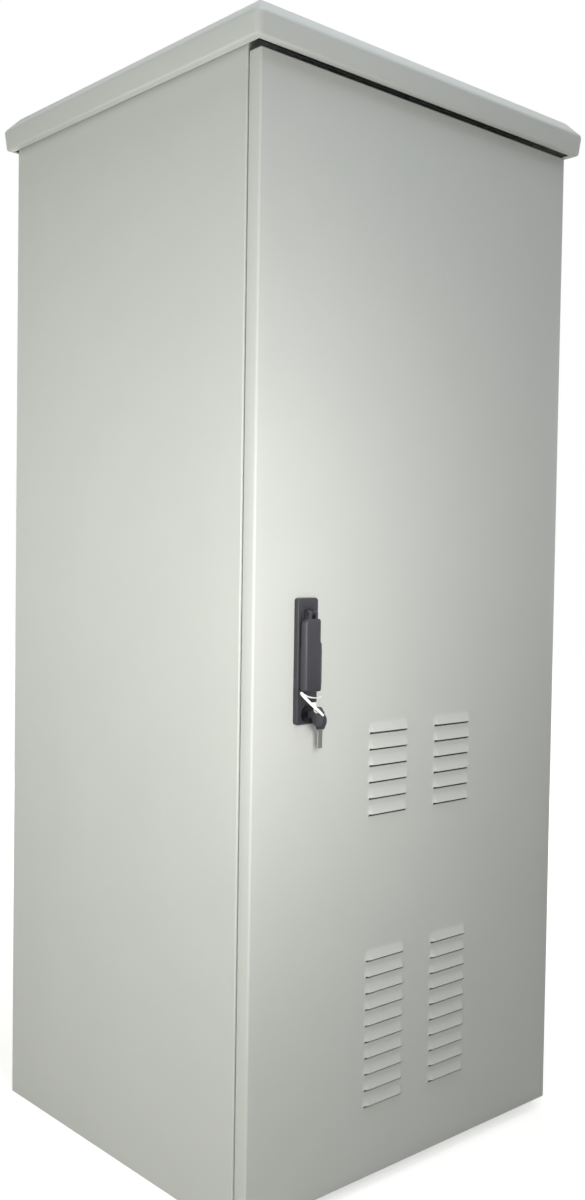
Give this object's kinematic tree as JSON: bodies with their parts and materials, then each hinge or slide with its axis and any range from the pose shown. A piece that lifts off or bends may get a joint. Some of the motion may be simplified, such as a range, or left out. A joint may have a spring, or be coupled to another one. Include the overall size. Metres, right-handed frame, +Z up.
{
  "type": "outdoor equipment cabinet",
  "caption": "Tall outdoor equipment cabinet with a louvred hinged door, bevelled rain roof, swing handle driving two bolts, and rack rails inside.",
  "frame": {"origin": "centre of the four anchor holes, at the level of the floor", "axes": "+Z up, the door faces -Y, +X to the right of someone who faces the door"},
  "size_m": [0.698, 0.674, 1.6285],
  "materials": {
    "painted_sheet": "light grey textured powder coat",
    "zinc": "bright zinc plate",
    "dark_plastic": "dark moulded plastic",
    "foam": "closed-cell foam",
    "rubber": "black rubber",
    "filter_fleece": "dark grey non-woven filter mat",
    "copper": "plain copper bar",
    "insulator": "moulded insulator",
    "nickel": "nickel plate",
    "white_plastic": "natural nylon"
  },
  "bodies": {
    "cabinet": {"base_frame": "zinc", "cable_seal": "rubber", "earth_bar": "copper", "earth_bar_feet": "insulator", "floor_plate": "zinc", "front_frame": "zinc", "front_rail_left": "zinc", "front_rail_right": "zinc", "gland_plate": "zinc", "hinge_frame_leaf_1": "zinc", "hinge_frame_leaf_2": "zinc", "hinge_frame_leaf_3": "zinc", "keeper_lower": "zinc", "keeper_upper": "zinc", "rail_beams": "zinc", "rear_panel": "painted_sheet", "rear_post_left": "zinc", "rear_post_right": "zinc", "rear_rail_left": "zinc", "rear_rail_right": "zinc", "roof_brackets": "zinc", "roof_cap": "painted_sheet", "side_panel_left": "painted_sheet", "side_panel_right": "painted_sheet", "top_plate": "zinc", "vent_screens": "zinc"},
    "door": {"crossbar_1": "zinc", "crossbar_2": "zinc", "crossbar_3": "zinc", "door_gasket": "foam", "door_skin": "painted_sheet", "filter_cover_lower": "zinc", "filter_cover_upper": "zinc", "filter_mat_lower": "filter_fleece", "filter_mat_upper": "filter_fleece", "hinge_door_leaf_1": "zinc", "hinge_door_leaf_2": "zinc", "hinge_door_leaf_3": "zinc", "stiffener_left": "zinc", "stiffener_right": "zinc", "handle_base": "dark_plastic", "handle_plate": "dark_plastic", "handle_nuts": "zinc", "gearbox": "zinc", "rod_guides": "zinc", "lock_barrel": "nickel"},
    "spindle": {"spindle": "zinc", "pinion": "zinc", "lever_pin": "zinc"},
    "lever": {"lever": "dark_plastic"},
    "upper_bolt": {"bolt_rod_upper": "zinc"},
    "lower_bolt": {"bolt_rod_lower": "zinc"},
    "lock_plug": {"lock_plug": "nickel", "key_in_lock": "dark_plastic", "spare_key": "nickel", "key_strap": "white_plastic"}
  },
  "joints": [
    {"name": "door_hinge", "type": "hinge", "parent": "cabinet", "child": "door", "pos_m": [0.318, -0.3125, 0.793], "axis": [0, 0, 1], "range_deg": [0, 110]},
    {"name": "lever_turn", "type": "hinge", "parent": "door", "child": "spindle", "pos_m": [-0.2349, -0.325, 0.838], "axis": [0, -1, 0], "range_deg": [0, 90]},
    {"name": "lever_lift", "type": "hinge", "parent": "spindle", "child": "lever", "pos_m": [-0.2349, -0.339, 0.838], "axis": [-1, 0, 0], "range_deg": [0, 60]},
    {"name": "upper_bolt_slide", "type": "slide", "parent": "door", "child": "upper_bolt", "axis": [0, 0, -1], "range_m": [0, 0.0189]},
    {"name": "lower_bolt_slide", "type": "slide", "parent": "door", "child": "lower_bolt", "axis": [0, 0, 1], "range_m": [0, 0.0189]},
    {"name": "key_turn", "type": "hinge", "parent": "door", "child": "lock_plug", "pos_m": [-0.2349, -0.325, 0.702], "axis": [0, -1, 0], "range_deg": [0, 90]}
  ],
  "couplings": [
    {"joint": "upper_bolt_slide", "follows": "lever_turn", "m_per_rad": 0.012},
    {"joint": "lower_bolt_slide", "follows": "lever_turn", "m_per_rad": 0.012}
  ]
}
